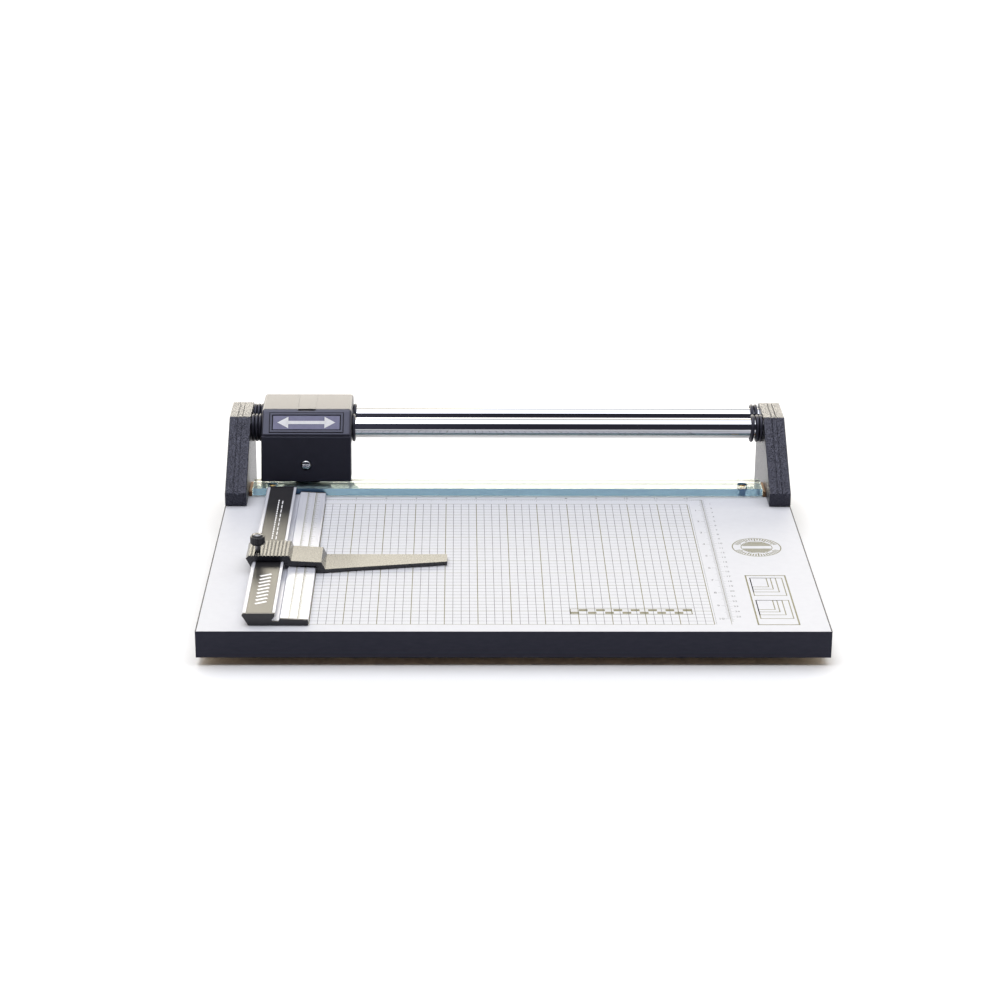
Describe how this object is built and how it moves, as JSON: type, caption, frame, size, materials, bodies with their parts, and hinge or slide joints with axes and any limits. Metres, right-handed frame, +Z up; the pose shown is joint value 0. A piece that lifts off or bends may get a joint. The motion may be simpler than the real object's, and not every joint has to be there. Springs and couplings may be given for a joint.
{
  "type": "rotary paper trimmer",
  "caption": "Desktop rotary paper trimmer: gridded white board, end frames, chromed rails, sliding cutting head, clear clamp strip and a side ruler with a paper stop.",
  "frame": {"origin": "centre of the whole object's box at the level of the feet's undersides, on the table", "axes": "+X along the rails to the right, +Y from the user to the rails, +Z up"},
  "size_m": [0.4758, 0.3736, 0.0921],
  "materials": {
    "chipboard": "bare pressed chip",
    "laminate": "satin white melamine with a printed grid",
    "edging": "satin black edging strip",
    "frame_paint": "hammered black enamel on cast aluminium",
    "head_paint": "fine textured black enamel on cast aluminium",
    "stop_paint": "satin black anodised finish",
    "chrome": "polished",
    "ground_steel": "ground",
    "screw_steel": "zinc plated",
    "spring_steel": "bright wire",
    "brass": "turned",
    "bronze": "dull bronze",
    "rubber": "moulded",
    "clear_strip": "clear acrylic with polished edges",
    "ruler_metal": "satin anodised with printed ticks",
    "insert_face": "satin black film",
    "cap_plastic": "moulded",
    "knob_plastic": "moulded",
    "cast_metal": "as cast",
    "bush_plastic": "moulded"
  },
  "bodies": {
    "base": {"baseboard": "chipboard", "board_top": "laminate", "counter_knife": "ground_steel", "edge_band": "edging", "foot_front_left": "rubber", "foot_front_right": "rubber", "foot_rear_left": "rubber", "foot_rear_right": "rubber", "frame_bolt_left_front": "screw_steel", "frame_bolt_left_rear": "screw_steel", "frame_bolt_right_front": "screw_steel", "frame_bolt_right_rear": "screw_steel", "front_rail": "chrome", "knife_screw_left": "screw_steel", "knife_screw_right": "screw_steel", "left_end_frame": "frame_paint", "rail_screw_left_front": "screw_steel", "rail_screw_left_rear": "screw_steel", "rail_screw_right_front": "screw_steel", "rail_screw_right_rear": "screw_steel", "rear_rail": "chrome", "right_end_frame": "frame_paint", "ring_left_front_1": "rubber", "ring_left_front_2": "rubber", "ring_left_front_3": "rubber", "ring_left_rear_1": "rubber", "ring_left_rear_2": "rubber", "ring_left_rear_3": "rubber", "ring_right_front_1": "rubber", "ring_right_front_2": "rubber", "ring_right_front_3": "rubber", "ring_right_rear_1": "rubber", "ring_right_rear_2": "rubber", "ruler_cap_front": "cap_plastic", "ruler_cap_rear": "cap_plastic", "ruler_extrusion": "ruler_metal", "ruler_insert": "insert_face", "ruler_screw_front": "screw_steel", "ruler_screw_rear": "screw_steel", "strip_guide_left": "bronze", "strip_guide_right": "bronze", "strip_screw_left": "brass", "strip_screw_right": "brass", "strip_spring_left": "spring_steel", "strip_spring_right": "spring_steel"},
    "head": {"head_cover": "head_paint", "blade_guard": "head_paint", "carriage_casting": "cast_metal", "front_rail_bush": "bush_plastic", "rear_rail_bush": "bush_plastic", "head_ring_front": "rubber", "head_ring_rear": "rubber", "blade_axle": "chrome", "blade_spring": "spring_steel"},
    "blade": {"cutting_blade": "ground_steel", "blade_hub": "brass"},
    "clamp_strip": {"clamp_strip": "clear_strip"},
    "paper_stop": {"paper_stop": "stop_paint"},
    "lock_knob": {"lock_knob": "knob_plastic", "lock_screw": "screw_steel"}
  },
  "joints": [
    {"name": "head_slide", "type": "slide", "parent": "base", "child": "head", "axis": [1, 0, 0], "range_m": [0, 0.338]},
    {"name": "blade_spin", "type": "hinge", "parent": "head", "child": "blade", "pos_m": [-0.1718, 0.12698, 0.0504], "axis": [0, 1, 0], "continuous": true},
    {"name": "strip_press", "type": "slide", "parent": "base", "child": "clamp_strip", "axis": [0, 0, 1], "range_m": [-0.0009, 0], "stiffness_N_per_m": 1600, "springref_m": 0.0015, "deforming": ["strip_spring_left", "strip_spring_right"]},
    {"name": "stop_slide", "type": "slide", "parent": "base", "child": "paper_stop", "axis": [0, 1, 0], "range_m": [-0.102, 0.136]},
    {"name": "lock_turn", "type": "hinge", "parent": "paper_stop", "child": "lock_knob", "pos_m": [-0.1997, -0.06363, 0.05], "axis": [0, 0, 1], "range_deg": [0, 270]}
  ],
  "couplings": [
    {"joint": "blade_spin", "follows": "head_slide", "rad_per_m": 42.553}
  ]
}
